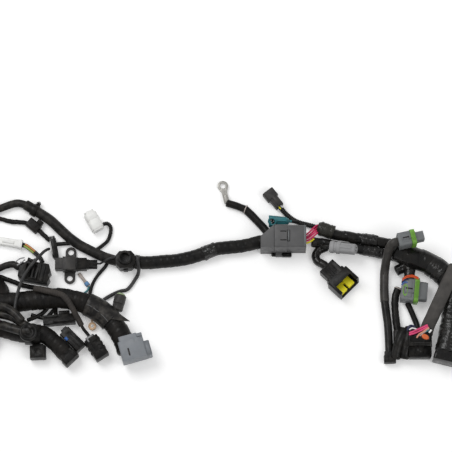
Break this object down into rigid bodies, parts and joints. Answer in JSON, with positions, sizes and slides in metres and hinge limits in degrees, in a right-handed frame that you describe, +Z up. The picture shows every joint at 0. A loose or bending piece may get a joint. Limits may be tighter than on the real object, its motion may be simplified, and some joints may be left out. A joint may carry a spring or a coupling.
{
  "type": "wiring harness",
  "caption": "black vehicle wiring harness lying flat: taped trunks, side branches, clips, sensor, ring terminal and coloured multiway connectors",
  "frame": {"origin": "the middle of the layout's outline, on the surface that it lies on", "axes": "+X to the right along the longest side of the layout, +Y away from the viewer, +Z up from the surface"},
  "size_m": [0.585, 0.2308, 0.0477],
  "materials": {
    "trunk_tape": null,
    "gloss_tape": null,
    "sleeve_rubber": null,
    "brown_sleeve": null,
    "black_plastic": null,
    "dark_grey_plastic": null,
    "mid_grey_plastic": null,
    "light_grey_plastic": null,
    "blue_grey_plastic": null,
    "white_plastic": null,
    "green_plastic": null,
    "pale_green_seal": null,
    "teal_plastic": null,
    "yellow_plastic": null,
    "red_wire": null,
    "orange_seal": null,
    "blue_sleeve": null,
    "tin": null
  },
  "bodies": {
    "root": {"main_trunk": "trunk_tape", "lower_trunk": "trunk_tape", "middle_trunk": "trunk_tape", "side_branch": "trunk_tape", "loop_lead": "trunk_tape", "flat_leads": "trunk_tape", "left_branch": "trunk_tape", "drop_branch": "trunk_tape", "ring_cable": "trunk_tape", "small_cable": "trunk_tape", "side_sleeve": "trunk_tape", "stem_cable": "trunk_tape", "right_trunk": "gloss_tape", "upper_bundle": "gloss_tape", "lower_bundle": "gloss_tape", "junction_wrap": "gloss_tape", "socket_cable": "gloss_tape", "top_branch": "sleeve_rubber", "left_cable": "sleeve_rubber", "arc_over_cable": "sleeve_rubber", "rider_branch": "brown_sleeve", "flat_strap": "brown_sleeve", "main_left_plug": "black_plastic", "tree_clip": "black_plastic", "tee_clip": "black_plastic", "block_connector": "black_plastic", "sensor_cover": "black_plastic", "tie_mount": "black_plastic", "round_plug_shell": "black_plastic", "lower_connector": "black_plastic", "trunk_clip": "black_plastic", "long_bracket": "black_plastic", "long_connector": "black_plastic", "small_left_plug": "black_plastic", "small_connector": "black_plastic", "socket_connector": "black_plastic", "corner_connector": "black_plastic", "left_conduit": "dark_grey_plastic", "thin_cable": "dark_grey_plastic", "sensor_case": "dark_grey_plastic", "sensor_lead": "dark_grey_plastic", "arc_cable": "dark_grey_plastic", "split_sleeve": "dark_grey_plastic", "big_housing": "dark_grey_plastic", "big_backshell": "dark_grey_plastic", "upper_plug_body": "mid_grey_plastic", "side_plug_body": "mid_grey_plastic", "light_connector": "light_grey_plastic", "grey_connector": "blue_grey_plastic", "capsule_plug": "white_plastic", "white_flat_plug": "white_plastic", "upper_plug_band": "green_plastic", "side_plug_band": "green_plastic", "round_plug_seal": "pale_green_seal", "teal_connector": "teal_plastic", "socket_lock": "yellow_plastic", "red_wires": "red_wire", "ring_seal": "orange_seal", "crimp_terminal": "blue_sleeve", "ring_terminal": "tin"}
  },
  "joints": []
}
